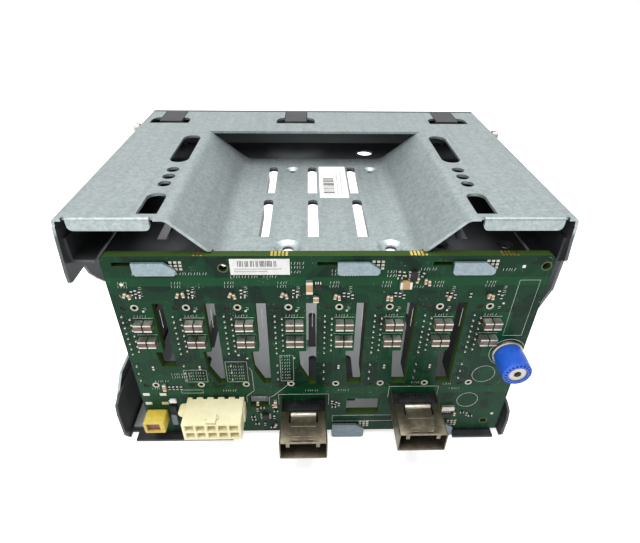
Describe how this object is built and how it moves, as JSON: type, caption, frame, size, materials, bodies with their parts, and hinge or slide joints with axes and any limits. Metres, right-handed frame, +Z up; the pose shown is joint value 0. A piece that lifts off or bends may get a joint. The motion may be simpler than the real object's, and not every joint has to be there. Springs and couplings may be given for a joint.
{
  "type": "drive cage with backplane board",
  "caption": "Sheet-metal drive cage for small drives with its backplane board, cable ports, power header and a locking thumbscrew.",
  "frame": {"origin": "middle of the cage's underside, halfway between its side walls and its front and rear edges", "axes": "+Z up, +X from left to right when looking at the board's connectors, +Y from the board towards the open front of the drive bays"},
  "size_m": [0.1724, 0.136, 0.1033],
  "materials": {
    "galvanised_steel": "satin zinc spangle",
    "black_paint": "semi-matt",
    "circuit_board": "solder resist over glass cloth",
    "black_moulding": "matt moulded",
    "port_metal": "dull nickel plate",
    "cream_moulding": "matt moulded",
    "yellow_moulding": "matt moulded",
    "red_moulding": "matt moulded",
    "blue_moulding": "matt moulded",
    "turned_steel": "turned",
    "gilt_brass": "passivated",
    "solder": "bright",
    "capacitor_ceramic": "matt",
    "paper_label": "coated"
  },
  "bodies": {
    "cage": {"top_cover": "galvanised_steel", "upper_guide_plate": "galvanised_steel", "lower_guide_plate": "galvanised_steel", "rivets": "turned_steel", "side_stud_left": "turned_steel", "side_stud_right": "turned_steel", "base_pan": "black_paint", "front_frame": "black_moulding", "backplane_board": "circuit_board", "drive_connector_1": "black_moulding", "drive_connector_2": "black_moulding", "drive_connector_3": "black_moulding", "drive_connector_4": "black_moulding", "drive_connector_5": "black_moulding", "drive_connector_6": "black_moulding", "drive_connector_7": "black_moulding", "drive_connector_8": "black_moulding", "solder_pins": "solder", "capacitor_bodies": "capacitor_ceramic", "capacitor_ends": "solder", "signal_port_shell_left": "port_metal", "signal_port_shell_right": "port_metal", "signal_port_core_left": "black_moulding", "signal_port_core_right": "black_moulding", "power_header": "cream_moulding", "power_header_pins": "gilt_brass", "yellow_socket": "yellow_moulding", "yellow_socket_insert": "red_moulding", "thumbscrew_ferrule": "turned_steel", "thumbscrew_nut": "turned_steel", "board_label": "paper_label", "cover_label": "paper_label"},
    "thumbscrew": {"thumbscrew_knob": "blue_moulding", "thumbscrew_screw": "turned_steel"}
  },
  "joints": [
    {"name": "thumbscrew_turn", "type": "hinge", "parent": "cage", "child": "thumbscrew", "pos_m": [0.0709, -0.06, 0.0477], "axis": [0, 1, 0], "continuous": true}
  ]
}
